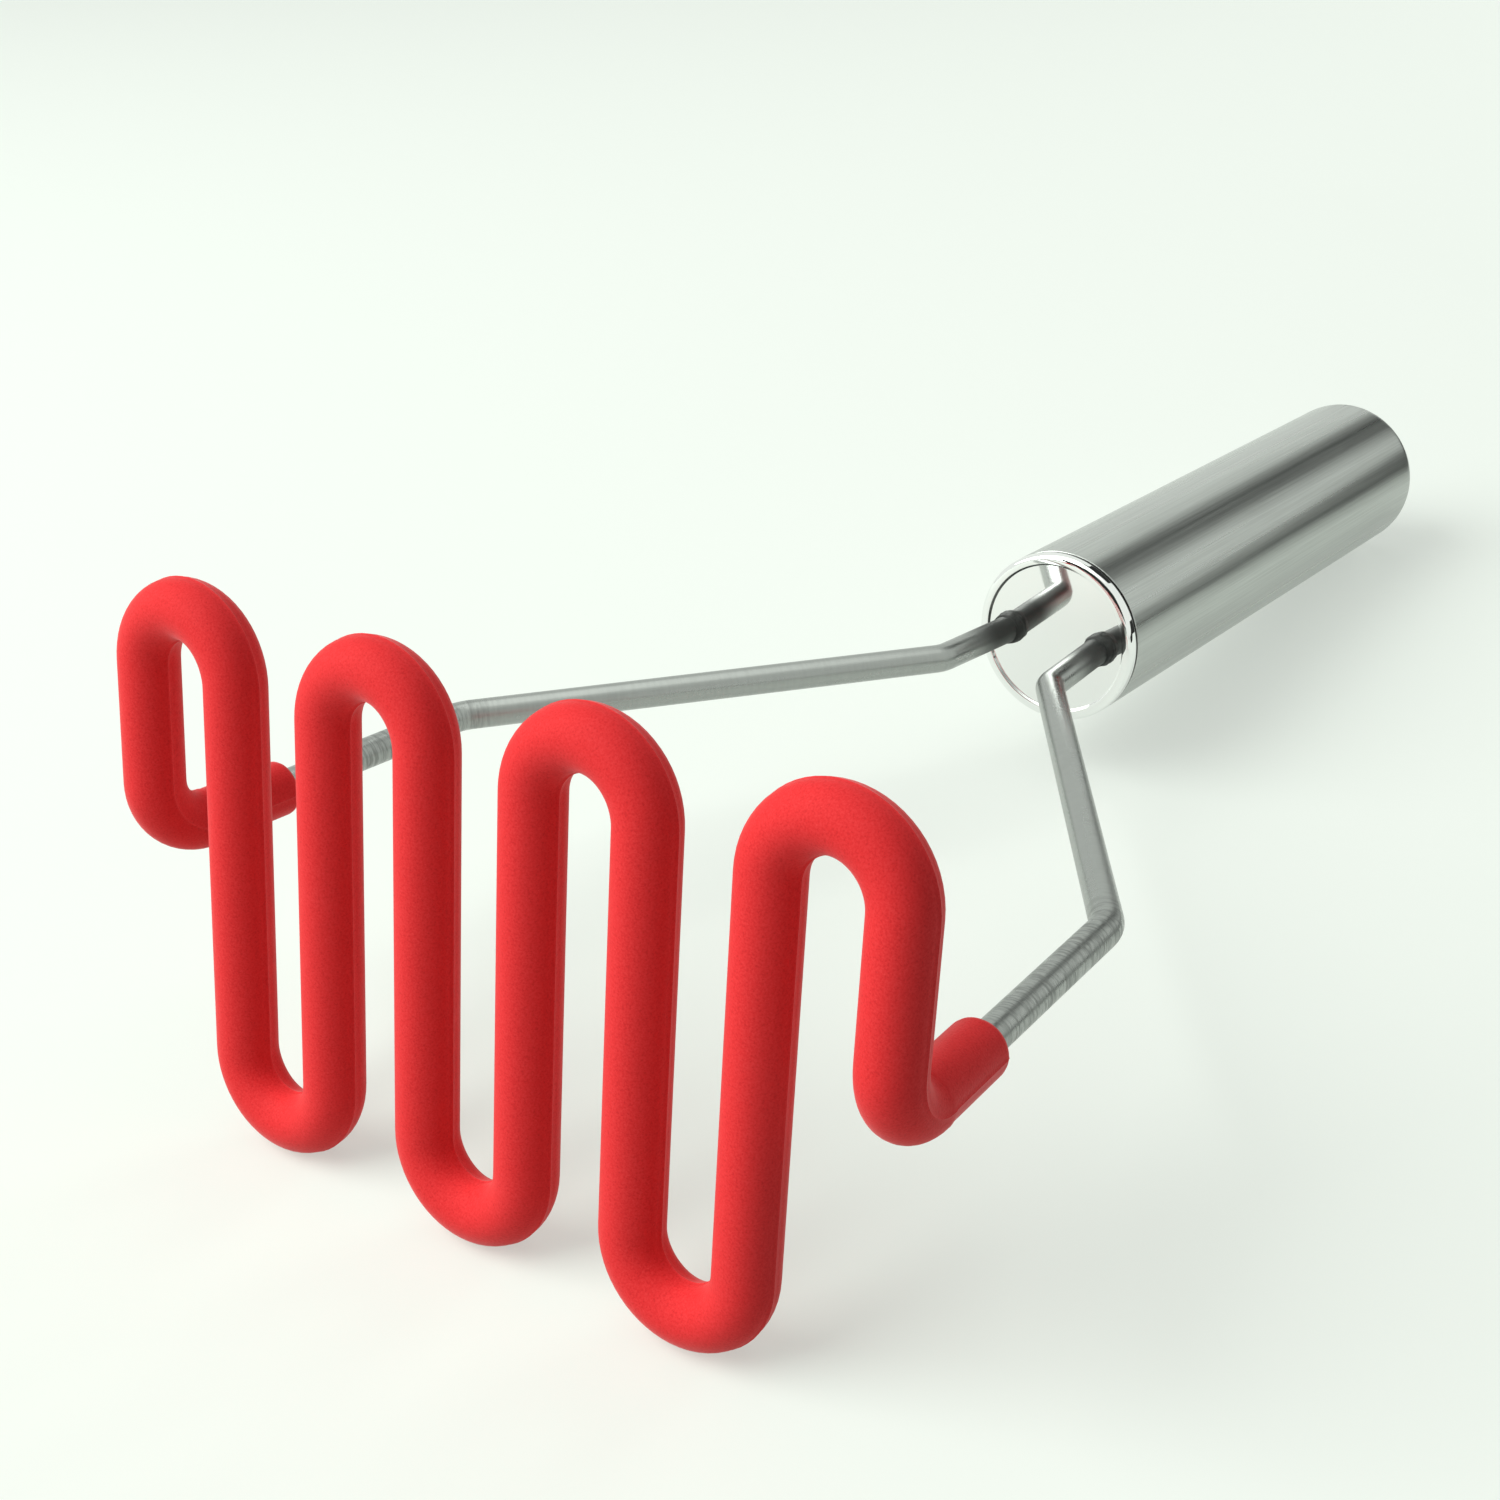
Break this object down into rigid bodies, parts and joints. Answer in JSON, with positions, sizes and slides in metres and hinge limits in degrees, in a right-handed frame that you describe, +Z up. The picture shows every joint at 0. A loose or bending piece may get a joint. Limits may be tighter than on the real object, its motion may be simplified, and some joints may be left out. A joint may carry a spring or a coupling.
{
  "type": "potato masher",
  "caption": "Hand potato masher: a serpentine steel rod head under a silicone cover, bent rod arms and a straight tubular steel handle with closed ends.",
  "frame": {"origin": "middle of the bounding box's base, on the surface that the masher lies on", "axes": "+Y from the mashing head towards the handle's rear end, X across the head, +Z up from the table; the masher lies on the lower bends of its head and the rear end of its handle"},
  "size_m": [0.1234, 0.2622, 0.073],
  "materials": {
    "rod_steel": "satin bar with fine scratches",
    "red_silicone": "matte moulded silicone",
    "handle_steel": "satin tube brushed along its length",
    "polished_steel": "mirror polished",
    "weld_steel": "darkened weld metal"
  },
  "bodies": {
    "root": {"masher_rod": "rod_steel", "silicone_cover": "red_silicone", "handle_tube": "handle_steel", "front_cap": "polished_steel", "rear_cap": "handle_steel", "weld_left": "weld_steel", "weld_right": "weld_steel"}
  },
  "joints": []
}
